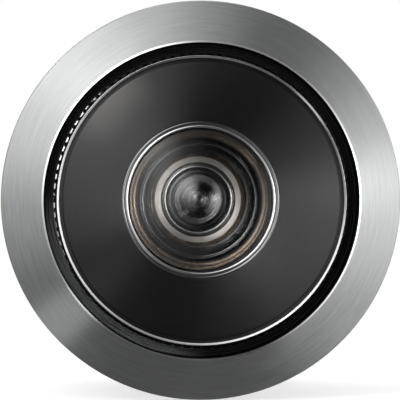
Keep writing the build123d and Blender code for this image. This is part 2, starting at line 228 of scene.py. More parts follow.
# Room tube, its flange and the eyepiece
TUBE_FRONT_Y = 14.9
TUBE_BORE_R = 10.5
TUBE_LAP = 0.3
ROOM_FLANGE_R = 16.0
ROOM_FLANGE_Y = 46.8
ROOM_FLANGE_TOP_Y = 48.3
FLANGE_LAP = 0.2
EYE_MOUTH_R = 12.0
EYE_CONE_Y = 45.6
EYE_POCKET_R = 8.9
EYE_R = 8.85
EYE_FRONT_Y = 41.1
EYE_BACK_Y = 43.3
EYE_OPENING = 7.65
EYE_SHOULDER_R = 7.9
EYE_SHOULDER_Y = 39.9
EYE_RISE = 1.2
EYE_RING_Y = EYE_BACK_Y + 1.2
EYE_RING_BEVEL = 0.35
BAFFLE_R = 10.45
BAFFLE_Y = 21.707
BAFFLE_WALL = 0.7
BAFFLE_FIN = 0.9
BAFFLE_FIN_WIDTH = 0.5
BAFFLE_FINS = 4
BAFFLE_SEGMENTS = 144

# Slots across the room tube's flange and notches across the eyepiece's ring
SLOT_WIDTH = 2.0
SLOT_DEPTH = 0.8
SLOT_AT_R = 14.0
SLOT_END_R = EYE_MOUTH_R + 0.27
SLOT_END_HALF = 0.03
SLOT_COLUMNS = 110
NOTCH_WIDTH = 1.2
NOTCH_DEPTH = 0.6
NOTCH_COLUMNS = 90

# Where a slot's floor, its wall, the columns beside it and the even columns lie, in half widths
FLOOR_EDGE = 0.94
WALL_MIDDLE = 0.97
BESIDE_SLOT = 1.6
CLEAR_OF_SLOT = 2.4

# Rosette, its gasket, and the cover with its rivet
ROSETTE_R = 21.0
ROSETTE_BACK_Y = 45.6
ROSETTE_SIDE_Y = 47.2
ROSETTE_CREST_Y = 48.4
ROSETTE_ROUND = 0.4
RECESS_R = 16.1
ROSETTE_LIP = 0.7
DOOR_BACK_Y = 45.0
PIVOT_Z = 18.55
BOSS_R = 2.43
BOSS_TOP_Y = 49.0
SHANK_R = 1.4
SHANK_DEPTH = 2.0
RIVET_R = 2.4
RIVET_SEGMENTS = 72
RIVET_FRONT_Y = 50.65
RIVET_SIDE = 0.35
RIVET_TOP_Y = RIVET_FRONT_Y + 0.9
RIVET_SHOULDER_R = 1.5
RIVET_SHOULDER_FALL = 0.05
DIMPLE_R = 0.5
DIMPLE_DEPTH = 0.12
COVER_FRONT_Y = 49.35
COVER_BACK_Y = 50.55
COVER_R = 13.0
COVER_ROUND = 0.3
COVER_EDGE = 0.08
COVER_HOLE_R = 1.45
EAR_R = 3.2
TAB_HALF = 3.0
TAB_END_Z = -14.5
OUTLINE_STEP = 0.3
OUTLINE_SAMPLES = 20001
PANEL_R = 10.0
PANEL_RISE = 0.4
PANEL_LAP = 0.2


# Meshes

def linked(name, data):
    """A new object with this data, in the scene."""
    made = bpy.data.objects.new(name, data)
    bpy.context.scene.collection.objects.link(made)
    return made


def smooth_mesh(name, points, faces, finishes, numbers):
    """A smooth mesh whose faces each have the number of one of its finishes."""
    mesh = bpy.data.meshes.new(name)
    mesh.from_pydata(points, [], faces)
    for finish in finishes:
        mesh.materials.append(finish)
    mesh.polygons.foreach_set("material_index", numbers.reshape(-1).astype(np.int32))
    mesh.polygons.foreach_set("use_smooth", np.ones(len(faces), bool))
    return mesh


def even_angles(count):
    """Equal steps once round the sight line."""
    return np.arange(count) * 2 * np.pi / count


def band_quads(rows, columns, closed):
    """Point numbers of the quads between the rows of a grid, round its columns and, where its
    section is closed, from the last row back to the first."""
    index = np.arange(rows * columns).reshape(rows, columns)
    if closed:
        index = np.vstack([index, index[:1]])
    beside = np.roll(index, -1, 1)
    return np.stack([index[:-1], index[1:], beside[1:], beside[:-1]], 2)


def rounded(points):
    """Carries a closed half section round its corners.

    Each row is radius, distance along the sight line, corner radius and surface number. A corner
    with radius R becomes an arc about the point at R / sin(half angle) along its bisector; a row
    with R = 0 stays one point whose normal is the mean of its neighbours' normals. A section that
    starts and ends on the axis is left open there. Returns points, unit normals, numbers, and
    whether the section is open.
    """
    rows = np.array(points, float)
    xy, radius, number = rows[:, :2], rows[:, 2], rows[:, 3].astype(int)
    following = np.roll(xy, -1, 0)
    area = np.sum(xy[:, 0] * following[:, 1] - following[:, 0] * xy[:, 1])
    if area < 0:
        xy, radius = xy[::-1], radius[::-1]
        number = np.roll(number[::-1], -1)
    ahead = np.roll(xy, -1, 0) - xy
    length = np.hypot(*ahead.T)
    ahead /= length[:, None]
    behind = np.roll(ahead, 1, 0)
    open_ends = xy[0, 0] == 0 and xy[-1, 0] == 0
    n_in = np.stack([behind[:, 1], -behind[:, 0]], 1)
    n_out = np.stack([ahead[:, 1], -ahead[:, 0]], 1)
    if open_ends:
        radius[[0, -1]] = 0
        n_in[0] = n_out[0] = (0, np.sign(n_out[0, 1]))
        n_in[-1] = n_out[-1] = (0, np.sign(n_in[-1, 1]))
    turn = np.sign(behind[:, 0] * ahead[:, 1] - behind[:, 1] * ahead[:, 0])
    half = 0.5 * np.arccos(np.clip(-(behind * ahead).sum(1), -1, 1))
    limit = 0.45 * np.minimum(length, np.roll(length, 1)) * np.tan(half)
    radius = np.minimum(radius, limit)
    middle = ahead - behind
    middle /= np.maximum(np.hypot(*middle.T), TINY)[:, None]
    centre = xy + middle * (radius / np.maximum(np.sin(half), TINY))[:, None]
    share = np.linspace(0, 1, ARC_STEPS + 1)[None, :, None]
    normal = n_in[:, None] * (1 - share) + n_out[:, None] * share
    normal /= np.hypot(normal[..., 0], normal[..., 1])[..., None]
    arc = centre[:, None] + (turn * radius)[:, None, None] * normal
    smooth = radius <= TINY
    mean = n_in + n_out
    mean /= np.hypot(*mean.T)[:, None]
    arc[smooth] = xy[smooth][:, None]
    normal[smooth] = mean[smooth][:, None]
    kept = ~smooth[:, None] | (np.arange(ARC_STEPS + 1)[None] == 0)
    numbers = np.roll(number, 1)[:, None].repeat(ARC_STEPS + 1, 1)
    numbers[:, -1] = number
    numbers[smooth] = number[smooth][:, None]
    return arc[kept], normal[kept], numbers[kept], open_ends


def arc_rows(radius, edge_y, rise, count=LENS_ROWS):
    """Rows of a dome or hollow from the axis to its edge: the circle through (0, edge_y - rise)
    and (radius, edge_y), at equal angles from the axis, with a crisp corner at the edge. A
    negative rise bulges the other way."""
    curve = (radius ** 2 + rise ** 2) / (2 * rise)
    reach = math.asin(min(1.0, radius / abs(curve)))
    if abs(rise) > radius:
        reach = math.pi - reach
    angle = np.linspace(0, reach, count)
    y = edge_y - rise + curve * (1 - np.cos(angle))
    rows = [(r, v, 0.0) for r, v in zip(abs(curve) * np.sin(angle), y)]
    return rows[:-1] + [(radius, edge_y, CRISP)]


def crown(outer, inner, y, rise, finish, count=CROWN_ROWS):
    """Rows of a low rounded ridge from the outer to the inner radius. Height follows the parabola
    4 s (1 - s) times the rise over the share s of its width, towards the visitor."""
    share = np.linspace(0, 1, count)
    radius = outer + (inner - outer) * share
    top = y - rise * 4 * share * (1 - share)
    return [(r, v, 0.0, finish) for r, v in zip(radius, top)]


def turned(name, finish, *points, angles=even_angles(SEGMENTS), warp=None, centre_z=0.0):
    """Turns a rounded half section about the sight line, or about a line centre_z above it.

    A row of points is radius and distance along the line, then corner radius and finish where
    they aren't EDGE and the piece's own. Point (angle, row) is (r cos angle, y, r sin angle) from
    the section's row (r, y). warp(r, y, angle) may return changed radii, distances and angles;
    such a surface gets its normals from its faces, split past the sharp angle. Rows on the axis
    are single poles.
    """
    rows = [(*row, *(EDGE, finish)[len(row) - 2:]) for row in points]
    finishes = list(dict.fromkeys(row[3] for row in rows))
    numbered = [(*row[:3], finishes.index(row[3])) for row in rows]
    section, normals, numbers, open_ends = rounded(numbered)
    count, columns = len(section), len(angles)
    r = section[:, :1].repeat(columns, 1)
    y = section[:, 1:].repeat(columns, 1)
    t = angles[None].repeat(count, 0)
    if warp:
        r, y, t = warp(r, y, t)
    vertices = np.stack([r * np.cos(t), y, r * np.sin(t) + centre_z], 2).reshape(-1, 3) * MM
    used = np.ones(count * columns, bool)
    if open_ends:
        used[1:columns] = False
        used[(count - 1) * columns + 1:] = False
    quads = (np.cumsum(used) - 1)[band_quads(count, columns, not open_ends)]
    faces = quads.reshape(-1, 4).tolist()
    if open_ends:
        first, last = quads[0][:, [0, 1, 2]], quads[-1][:, [0, 1, 3]]
        faces = first.tolist() + faces[columns:-columns] + last.tolist()
    face_numbers = numbers[:len(quads), None].repeat(columns, 1)
    mesh = smooth_mesh(name, vertices[used], faces, finishes, face_numbers)
    if warp:
        mesh.set_sharp_from_angle(angle=SHARP_ANGLE)
    else:
        side, along = normals[:, :1], normals[:, 1:]
        outward = np.stack([side * np.cos(t), along + 0 * t, side * np.sin(t)], 2)
        mesh.normals_split_custom_set_from_vertices(outward.reshape(-1, 3)[used])
    return linked(name, mesh)


def square_ring(name, finish, radii, depths, rounds, **place):
    """A ring of square section: its inner and outer radius, its front and back, and the corner
    radius of its inner and outer edges."""
    (inner, outer), (front, back), (inner_round, outer_round) = radii, depths, rounds
    return turned(
        name,
        finish,
        (inner, front, inner_round),
        (outer, front, outer_round),
        (outer, back, outer_round),
        (inner, back, inner_round),
        **place,
    )


def dress(piece, slot, *nodes, body="front_assembly"):
    """Sets the body that a piece rides on and hides the CAD nodes it stands for. The slot is not
    used.
    """
    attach(piece, body)
    if nodes:
        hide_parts(*nodes)


# Helpers for node trees

ORIGIN = (0.0, 0.0, 0.0)
NUMBER_RESULTS = ("LENGTH", "DOT_PRODUCT", "DISTANCE")


def fill(tree, made, inputs):
    """Sets the inputs of a node to constants, or links other sockets into them."""
    for key, value in inputs.items():
        if isinstance(value, bpy.types.NodeSocket):
            tree.links.new(value, made.inputs[key])
        else:
            made.inputs[key].default_value = value


def node(tree, kind, inputs=None, **settings):
    """A new shader node with its settings and its inputs, which are constants or sockets."""
    made = tree.nodes.new("ShaderNode" + kind)
    for key, value in settings.items():
        setattr(made, key, value)
    fill(tree, made, inputs or {})
    return made


def math_node(tree, operation, a, b=0.0):
    """The result of one sum on two numbers."""
    return node(tree, "Math", {0: a, 1: b}, operation=operation).outputs[0]


def plus(tree, a, b):
    """Two numbers added."""
    return math_node(tree, "ADD", a, b)


def times(tree, a, b):
    """Two numbers multiplied."""
    return math_node(tree, "MULTIPLY", a, b)


def vector_math(tree, operation, a, b=None):
    """The number or vector that one sum makes of a vector and another, or a factor to scale it."""
    inputs = {0: a}
    if b is not None:
        inputs["Scale" if operation == "SCALE" else 1] = b
    made = node(tree, "VectorMath", inputs, operation=operation)
    return made.outputs["Value" if operation in NUMBER_RESULTS else "Vector"]


def across_sight(tree, vector):
    """The part of a vector that is square to the sight line."""
    return vector_math(tree, "MULTIPLY", vector, (1.0, 0.0, 1.0))


def between(tree, value, low, high, start=0.0, end=1.0, curve="LINEAR"):
    """A value from start to end spread between low and high."""
    inputs = {0: value, 1: start, 2: end, 3: low, 4: high}
    return node(tree, "MapRange", inputs, interpolation_type=curve).outputs[0]


def smooth_step(tree, value, start, end, low=0.0, high=1.0):
    """A value from start to end spread between low and high with soft ends."""
    return between(tree, value, low, high, start, end, "SMOOTHSTEP")


def mixed(tree, share, *colours):
    """The first colour where the share is 0 and the second where it is 1."""
    a, b = ((*colour, 1.0) if isinstance(colour, tuple) else colour for colour in colours)
    inputs = {"Factor": share, "A": a, "B": b}
    return node(tree, "Mix", inputs, data_type="RGBA").outputs["Result"]


def new_group(name, inputs, outputs):
    """An empty node group. Its sockets are names with the number or vector they start from."""
    group = bpy.data.node_groups.new(name, "ShaderNodeTree")
    for side, sockets in (("INPUT", inputs), ("OUTPUT", outputs)):
        for label, value in sockets.items():
            kind = "NodeSocketVector" if isinstance(value, tuple) else "NodeSocketFloat"
            group.interface.new_socket(label, in_out=side, socket_type=kind).default_value = value
    given, result = group.nodes.new("NodeGroupInput"), group.nodes.new("NodeGroupOutput")
    return group, given.outputs, result


def placed(tree, group, **inputs):
    """The result of a group placed in a material with Object coordinates and its own values."""
    place = {"Vector": node(tree, "TexCoord").outputs["Object"]}
    own = {key.replace("_", " "): value for key, value in inputs.items()}
    return node(tree, "Group", {**place, **own}, node_tree=group).outputs[0]


# Node groups

def turned_lines_group():
    """Fine rings left by turning or brushing round the sight line: noise that changes quickly
    with radius plus distance along the axis, and slowly round it, so the rings break up."""
    group, given, result = new_group(
        "turned_lines", {"Vector": ORIGIN, "Rings per mm": 6.0, "Breaks": 3.0}, {"Value": 0.0}
    )
    x, y, z = node(group, "SeparateXYZ", {0: given["Vector"]}).outputs
    square = plus(group, times(group, x, x), times(group, z, z))
    radius = math_node(group, "SQRT", plus(group, square, MICRON ** 2))
    along = times(group, plus(group, radius, y), 1 / MM)
    along = times(group, along, given["Rings per mm"])
    shares = (math_node(group, "DIVIDE", side, radius) for side in (x, z))
    round_x, round_z = (times(group, share, given["Breaks"]) for share in shares)
    place = node(group, "CombineXYZ", {0: round_x, 1: along, 2: round_z}).outputs[0]
    settings = {"Vector": place, "Scale": 1.0, "Detail": 3.0, "Roughness": 0.7}
    noise = node(group, "TexNoise", settings).outputs[0]
    fill(group, result, {"Value": noise})
    return group


def soft_patches_group():
    """Soft uneven patches, as of handling and cleaning: noise whose middle part, from 0.3 to 0.7,
    is spread over 0 to 1."""
    group, given, result = new_group(
        "soft_patches", {"Vector": ORIGIN, "Patches per mm": 0.2}, {"Value": 0.0}
    )
    place = vector_math(group, "SCALE", given["Vector"], 1 / MM)
    settings = {"Vector": place, "Scale": given["Patches per mm"], "Detail": 4.0}
    noise = node(group, "TexNoise", settings).outputs[0]
    fill(group, result, {"Value": between(group, noise, 0.0, 1.0, 0.3, 0.7)})
    return group


def painted_arc_group():
    """An arc round the sight line where a highlight or reflection is painted: 1 along the unit
    direction Toward, falling to 0 where the angle's cosine reaches Reach and from radius Outer in to
    radius Inner."""
    inputs = {"Vector": ORIGIN, "Toward": (1.0, 0.0, 0.0), "Reach": 0.5, "Inner": 0.0, "Outer": MM}
    group, given, result = new_group("painted_arc", inputs, {"Value": 0.0})
    flat = across_sight(group, given["Vector"])
    along = vector_math(group, "DOT_PRODUCT", vector_math(group, "NORMALIZE", flat), given["Toward"])
    arc = smooth_step(group, along, given["Reach"], 1.0)
    outward = smooth_step(group, vector_math(group, "LENGTH", flat), given["Inner"], given["Outer"])
    fill(group, result, {"Value": times(group, arc, outward)})
    return group


def leaning_marks_group():
    """Saw-shaped turning marks: the long face of each mark leans out from the sight line, so the
    normal is tipped along the radius by Lean, the tangent of the lean."""
    group, given, result = new_group(
        "leaning_marks", {"Vector": ORIGIN, "Normal": ORIGIN, "Lean": 0.0}, {"Normal": ORIGIN}
    )
    outward = node(
        group,
        "VectorTransform",
        {0: vector_math(group, "NORMALIZE", across_sight(group, given["Vector"]))},
        vector_type="VECTOR",
        convert_from="OBJECT",
        convert_to="WORLD",
    ).outputs[0]
    lean = vector_math(group, "SCALE", outward, given["Lean"])
    tipped = vector_math(group, "ADD", given["Normal"], lean)
    fill(group, result, {"Normal": vector_math(group, "NORMALIZE", tipped)})
    return group


TURNED_LINES = turned_lines_group()
SOFT_PATCHES = soft_patches_group()
PAINTED_ARC = painted_arc_group()
LEANING_MARKS = leaning_marks_group()


# Materials

# Rings and patches of turned metal: how far they spread, and the rings' share of the colour
METAL_BREAKS = 4.0
METAL_PATCHES = 0.12
RING_SPREAD = (-0.6, 1.6)
RING_SHARE = 0.8
PATCH_ROUGHNESS = (-0.02, 0.03)
QUARTER_TURN = 0.25

# Roughness varies by this share of its middle value
UNEVENNESS = 0.15

GRAIN_PER_MM = 1.5
GRAIN_RELIEF = 4.0
GRAIN_STRENGTH = 0.6
ARC_BLACK_RELIEF = 2.0
STREAK = (0.36, 0.5)


def grey(level):
    """The grey with this much red, green and blue."""
    return (level, level, level)


def direction(clock, tilt=90):
    """The unit vector at a tilt from the sight line, on the visitor's side, and at a clock angle
    round it, counted anticlockwise from the right, both in degrees."""
    c, t = math.radians(clock), math.radians(tilt)
    return (math.cos(c) * math.sin(t), -math.cos(t), math.sin(c) * math.sin(t))


def material(name):
    """A material with its tree and its Principled shader."""
    made = bpy.data.materials.new(name)
    made.use_nodes = True
    tree = made.node_tree
    shader = next(n for n in tree.nodes if n.type == "BSDF_PRINCIPLED")
    return made, tree, shader


def uneven(tree, value, middle):
    """A roughness that a value from 0 to 1 moves down or up from its middle."""
    return between(tree, value, middle * (1 - UNEVENNESS), middle * (1 + UNEVENNESS))


def raised(tree, height, depth, strength=1.0):
    """The normal of a relief with this depth in microns."""
    inputs = {"Strength": strength, "Distance": depth * MICRON, "Height": height}
    return node(tree, "Bump", inputs).outputs[0]


def painted_arc_share(tree, clock, half_width, inner=0.0, outer=1.0):
    """Share of a painted highlight or painted reflection: most at a clock angle in degrees, not at
    all the half width from it, and growing from the inner to the outer radius."""
    return placed(
        tree,
        PAINTED_ARC,
        Toward=direction(clock),
        Reach=math.cos(math.radians(half_width)),
        Inner=inner * MM,
        Outer=outer * MM,
    )


def turned_metal(
    name, dark, light, roughness, rings=5.0, anisotropy=0.8, relief=1.5, lean=0.0, painted_highlight=None, **painted_arc_place
):
    """Metal finished round the sight line: broken rings in colour, roughness and relief, with
    its gloss drawn out across the rings, and the marks leaning out where a lean is given. Where
    painted_arc_share says, a painted highlight colour is mixed into the base colour."""
    made, tree, shader = material(name)
    lines = placed(tree, TURNED_LINES, Rings_per_mm=rings, Breaks=METAL_BREAKS)
    patches = placed(tree, SOFT_PATCHES, Patches_per_mm=METAL_PATCHES)
    from_rings = times(tree, between(tree, lines, *RING_SPREAD), RING_SHARE)
    from_patches = times(tree, patches, 1 - RING_SHARE)
    colour = mixed(tree, plus(tree, from_rings, from_patches), dark, light)
    if painted_highlight:
        colour = mixed(tree, painted_arc_share(tree, **painted_arc_place), colour, painted_highlight)
    uneven_rings = uneven(tree, lines, roughness)
    normal = raised(tree, lines, relief)
    if lean:
        normal = placed(tree, LEANING_MARKS, Normal=normal, Lean=lean)
    fill(tree, shader, {
        "Base Color": colour,
        "Roughness": plus(tree, uneven_rings, between(tree, patches, *PATCH_ROUGHNESS)),
        "Metallic": 1.0,
        "Anisotropic": anisotropy,
        "Anisotropic Rotation": QUARTER_TURN,
        "Tangent": node(tree, "Tangent", direction_type="RADIAL", axis="Y").outputs[0],
        "Normal": normal,
    })
    return made


def moulded(name, dark, light, roughness):
    """Rubber, plastic or nylon: fine uneven grain in colour, roughness and relief."""
    made, tree, shader = material(name)
    grain = placed(tree, SOFT_PATCHES, Patches_per_mm=GRAIN_PER_MM)
    fill(tree, shader, {
        "Base Color": mixed(tree, grain, dark, light),
        "Roughness": uneven(tree, grain, roughness),
        "Normal": raised(tree, grain, GRAIN_RELIEF, GRAIN_STRENGTH),
    })
    return made


def glass(name, tint, index):
    """Clear polished glass with a faint uneven tint."""
    made, tree, shader = material(name)
    patches = placed(tree, SOFT_PATCHES, Patches_per_mm=0.3)
    fill(tree, shader, {
        "Base Color": mixed(tree, patches, tint, grey(1.0)),
        "Roughness": 0.0,
        "IOR": index,
        "Transmission Weight": 1.0,
    })
    return made


def black_with_painted_arc(name, black, painted_highlight, clock, half_width, roughness, rings, breaks=14.0, metallic=1.0):
    """A black finish with a painted highlight along the arc that painted_arc_share gives: a light
    colour is painted there in broken rings, standing for glints on the teeth and reflections on the
    seal."""
    made, tree, shader = material(name)
    lines = placed(tree, TURNED_LINES, Rings_per_mm=rings, Breaks=breaks)
    arc = math_node(tree, "MINIMUM", times(tree, painted_arc_share(tree, clock, half_width), 2.0), 1.0)
    painted_streaks = times(tree, arc, smooth_step(tree, lines, *STREAK))
    fill(tree, shader, {
        "Base Color": mixed(tree, painted_streaks, black, painted_highlight),
        "Roughness": uneven(tree, lines, roughness),
        "Metallic": metallic,
        "Normal": raised(tree, lines, ARC_BLACK_RELIEF),
    })
    return made


STEEL = turned_metal(
    "brushed_steel", (0.39, 0.402, 0.398), (0.55, 0.563, 0.559), 0.32, rings=3.4, anisotropy=1.0
)
BEVELLED = turned_metal("polished_bevel", grey(0.72), (0.84, 0.84, 0.83), 0.22, relief=0.5)
# The dish's base colour is lighter in an arc at clock 133 that grows towards the rim: a painted
# highlight.
ANODISED = turned_metal(
    "black_anodised_dish_painted_highlight",
    grey(0.058),
    grey(0.068),
    0.36,
    anisotropy=1.0,
    relief=0.05,
    lean=0.45,
    painted_highlight=(0.105, 0.103, 0.101),
    clock=133,
    half_width=24,
    inner=12.0,
    outer=17.2,
)
# The white broken rings on the teeth along clock 169 are painted glints.
TOOTHED = black_with_painted_arc("teeth_painted_glints", grey(0.008), (0.95, 0.95, 0.94), 169, 40, 0.2, 1.0)
WORN_RIM = turned_metal("worn_rim", grey(0.45), (0.75, 0.75, 0.74), 0.24, relief=0.5)
LAND = turned_metal("dull_land", grey(0.18), grey(0.34), 0.2, rings=12.0, relief=0.5)
BLACKENED = turned_metal("blackened_metal", grey(0.01), (0.024, 0.024, 0.025), 0.4, relief=1.0)
BORE = turned_metal("black_bore", grey(0.034), (0.06, 0.06, 0.061), 0.34, relief=1.0)
BRIGHT = turned_metal("bright_edge", grey(0.8), (0.92, 0.92, 0.91), 0.15, relief=0.3)
ALUMINIUM = turned_metal("satin_aluminium", grey(0.55), grey(0.75), 0.36, rings=4.0, relief=3.0)
BRASS = turned_metal("dulled_brass", (0.1, 0.08, 0.063), (0.29, 0.236, 0.188), 0.25, rings=2.4)
CELL_BRASS = turned_metal(
    "cell_brass",
    (0.6, 0.545, 0.495),
    (1.0, 0.95, 0.895),
    0.34,
    rings=2.8,
    anisotropy=0.9,
    relief=3.0,
    lean=-0.5,
)
PLATED = turned_metal("bright_steel", grey(0.62), grey(0.8), 0.2, relief=0.5)
RUBBER = moulded("black_rubber", grey(0.012), grey(0.03), 0.5)
# The grey streaks on the groove's seal along clock 224 are painted reflections; the rest is black
# rubber.
RUBBER_PAINTED_REFLECTIONS = black_with_painted_arc(
    "rubber_painted_reflections", grey(0.003), (0.13, 0.135, 0.137), 224, 50, 0.4, 7.0, breaks=3.0, metallic=0.0
)
PLASTIC = moulded("black_plastic", grey(0.008), grey(0.02), 0.55)
NYLON = moulded("white_nylon", (0.62, 0.62, 0.58), (0.78, 0.78, 0.75), 0.5)
GLASS = glass("optical_glass", (0.97, 0.98, 0.975), 1.52)


# Bezel and the seal in its groove

bezel = turned(
    "bezel",
    STEEL,
    (BEZEL_R, BEZEL_BACK_Y),
    (BEZEL_R, BEZEL_SIDE_Y, BEZEL_ROUND),
    (BEVEL_R, CREST_Y + BEVEL_FALL, CRISP, BEVELLED),
    # The chamfer, wall and floor of the mouth facing the groove take the near-black blackened
    # finish: painted shade in the groove.
    (MOUTH_R + MOUTH_CHAMFER, CREST_Y, CRISP, BLACKENED),
    (MOUTH_R, CREST_Y + 2 * MOUTH_CHAMFER, CRISP, BLACKENED),
    (MOUTH_R, WEB_Y, EDGE, BLACKENED),
    (WEB_R, WEB_Y, EDGE, BLACKENED),
    (WEB_R, WEB_BACK_Y),
    (MOUTH_R + BEZEL_SHEET, WEB_BACK_Y),
    (MOUTH_R + BEZEL_SHEET, CREST_Y + SHEET_BEVEL + BEZEL_SHEET),
    (BEZEL_R - BEZEL_SHEET, BEZEL_SIDE_Y + BEZEL_SHEET),
    (BEZEL_R - BEZEL_SHEET, BEZEL_BACK_Y),
)
dress(bezel, "brushed_stainless", "bezel_ring")


def rib_rows():
    """The ribs of the groove's seal from the housing out, each a step up over the last fall."""
    rows = []
    for out, height in SEAL_RIBS:
        r, y = HOUSING_R + out, WEB_Y - height
        rows += [(r, y, FINE), (r + RIB_STEP, y - RIB_RISE)]
    return rows


seal = turned(
    "groove_seal_ribbed",
    RUBBER_PAINTED_REFLECTIONS,
    (HOUSING_R + SEAL_GAP, WEB_Y, 0.04),
    (HOUSING_R + SEAL_GAP, WEB_Y - SEAL_INNER_HEIGHT, SOFT),
    (HOUSING_R + SEAL_TOP_OUT, WEB_Y - SEAL_TOP, 0.06),
    *rib_rows(),
    (MOUTH_R - SEAL_GAP, WEB_Y - SEAL_OUTER_HEIGHT),
    (MOUTH_R - SEAL_GAP, WEB_Y, 0.04),
)
dress(seal, "black_rubber", "groove_seal")


# Dished housing

def tooth_angles():
    """Columns round the housing: six to a tooth, on the edges and root of each groove."""
    edge = TOOTH_HALF / HOUSING_R
    far = 0.5 * TOOTH_PITCH
    between_teeth = 0.5 * (edge + far)
    steps = np.array([-far, -between_teeth, -edge, 0.0, edge, between_teeth])
    return (np.arange(TEETH)[:, None] * TOOTH_PITCH + steps).reshape(-1)


def cut_teeth(r, y, t):
    """Sinks the band in V grooves: depth falls in a straight line from each groove's middle."""
    off = np.abs((t / TOOTH_PITCH + 0.5) % 1 - 0.5) * TOOTH_PITCH * HOUSING_R
    depth = np.clip(1 - off / TOOTH_HALF, 0, 1) * TOOTH_DEPTH
    proud = np.clip((r - HOUSING_R) / (BAND_R - HOUSING_R), 0, 1) * (y > BAND_TOP_Y - ON_WALL)
    return r - depth * proud, y, t


def dish_rows():
    """The dish from its rim to the ring: a straight fall plus a low crown, 4 s (1 - s) high."""
    share = np.linspace(0, 1, DISH_ROWS)[1:-1]
    radius = DISH_R + (RING_R - DISH_R) * share
    fall = (DISH_BOTTOM_Y - DISH_TOP_Y) * share
    y = DISH_TOP_Y + fall - DISH_CROWN * 4 * share * (1 - share)
    return [(r, v, 0.0) for r, v in zip(radius, y)]


housing = turned(
    "dished_housing",
    ANODISED,
    (HOUSING_R, WEB_Y, CRISP, TOOTHED),
    (HOUSING_R, BAND_BOTTOM_Y, CRISP, TOOTHED),
    (BAND_R, BAND_BOTTOM_Y, CRISP, TOOTHED),
    (BAND_R, BAND_TOP_Y + BAND_FALL, CRISP, TOOTHED),
    (BAND_R - BAND_BEVEL, BAND_TOP_Y, CRISP, BLACKENED),
    (HOUSING_R + BAND_STEP, BAND_TOP_Y, CRISP, BLACKENED),
    (HOUSING_R, BAND_TOP_Y - BAND_STEP_HEIGHT, CRISP, BLACKENED),
    (HOUSING_R, CREST_Y, FINE, BRIGHT),
    (HOUSING_R - RIM_LAND, CREST_Y, CRISP, WORN_RIM),
    # The walls of the rim's step take the near-black blackened finish and its floor the dark bore
    # finish: painted shade in the ledge.
    (RIM_R, CREST_Y + RIM_BEVEL, CRISP, BLACKENED),
    (RIM_R, RIM_STEP_Y, CRISP, BORE),
    (DISH_R + DISH_WALL_LEAN, RIM_STEP_Y, CRISP, BLACKENED),
    (DISH_R, DISH_TOP_Y),
    *dish_rows(),
    (RING_R, DISH_BOTTOM_Y, FINE),
    (RING_R, RING_END_Y, FINE, BORE),
    (POCKET_R, RING_END_Y, FINE, BORE),
    (POCKET_R, SHOULDER_Y, FINE, BORE),
    (CELL_BORE_R, SHOULDER_Y, FINE, BLACKENED),
    (CELL_BORE_R, THIRD_BACK_Y, FINE, BLACKENED),
    (STOP_R, THIRD_BACK_Y, FINE, BLACKENED),
    (STOP_R, NECK_Y, FINE, BLACKENED),
    (NECK_R, NECK_Y, EDGE, BLACKENED),
    (NECK_R, SPIGOT_Y, EDGE, BLACKENED),
    (THREAD_R, SPIGOT_Y, EDGE, BLACKENED),
    (THREAD_R, WEB_Y),
    angles=tooth_angles(),
    warp=cut_teeth,
)
dress(housing, "black_anodised", "objective_housing")


# Lens group, from the front inwards

ring = turned(
    "objective_ring_beaded",
    BLACKENED,
    (RING_R, LIP_Y + RING_STEP, 0.0, LAND),
    *crown(LIP_R, LIP_R - LIP_WIDTH, LIP_Y, LIP_RISE, LAND),
    (LIP_R - LIP_WIDTH - RING_STEP, LIP_Y + RING_STEP / 2, 0.0, LAND),
    (BEAD_R + RING_STEP, DISH_BOTTOM_Y + RING_STEP, CRISP),
    *crown(BEAD_R, BEAD_R - BEAD_WIDTH, DISH_BOTTOM_Y - RING_STEP, BEAD_RISE, BRIGHT),
    (LENS_OPENING, DISH_BOTTOM_Y + OPENING_SINK, CRISP),
    (LENS_OPENING, LENS_SEAT_Y, CRISP),
    (POCKET_R, LENS_SEAT_Y, CRISP),
    (POCKET_R, RING_END_Y, CRISP),
    (RING_R, RING_END_Y, CRISP),
)
dress(ring, "black_anodised", "objective_ring")

front_lens = turned(
    "front_lens",
    GLASS,
    *arc_rows(LENS_OPENING, LENS_FRONT_Y, LENS_RISE),
    (LENS_R, LENS_FRONT_Y, FINE),
    (LENS_R, LENS_BACK_Y),
    (BOWL_R + GROUND_EDGE, LENS_BACK_Y, 0.0, BLACKENED),
    *arc_rows(BOWL_R, LENS_BACK_Y, BOWL_DEPTH, BOWL_ROWS)[::-1],
)
dress(front_lens, "optical_glass", "objective_lens")

seat = turned(
    "lens_seat",
    BRASS,
    (SEAT_IN_R, CELL_FACE_Y, FINE),
    (CELL_R, CELL_FACE_Y, FINE),
    (CELL_R, SEAT_EDGE_Y + RING_STEP, CRISP),
    *crown(CELL_R - RING_STEP, SEAT_IN_R + RING_STEP, SEAT_EDGE_Y, SEAT_CROWN, BRASS, SEAT_ROWS),
    (SEAT_IN_R, SEAT_EDGE_Y + RING_STEP, CRISP),
)
dress(seat, "brass", "lens_seat_ring")

cell = turned(
    "second_cell",
    CELL_BRASS,
    (CELL_R, CELL_FACE_Y, FINE),
    (SEAT_IN_R + CELL_LINE_LAP, CELL_FACE_Y, 0.0, BRIGHT),
    (SEAT_IN_R - CELL_LINE, CELL_FACE_Y, 0.0),
    (CELL_POCKET_R + CELL_BEVEL, CELL_FACE_Y, CRISP, BRIGHT),
    (CELL_POCKET_R, CELL_FACE_Y + CELL_BEVEL, CRISP, LAND),
    (CELL_POCKET_R, SECOND_LIP_Y, CRISP, LAND),
    (SECOND_LIP_R, SECOND_LIP_Y, CRISP, BORE),
    (SECOND_LIP_R, CELL_BACK_Y, CRISP, BORE),
    (CELL_R, CELL_BACK_Y, FINE),
)
dress(cell, "brass", "second_lens_cell")

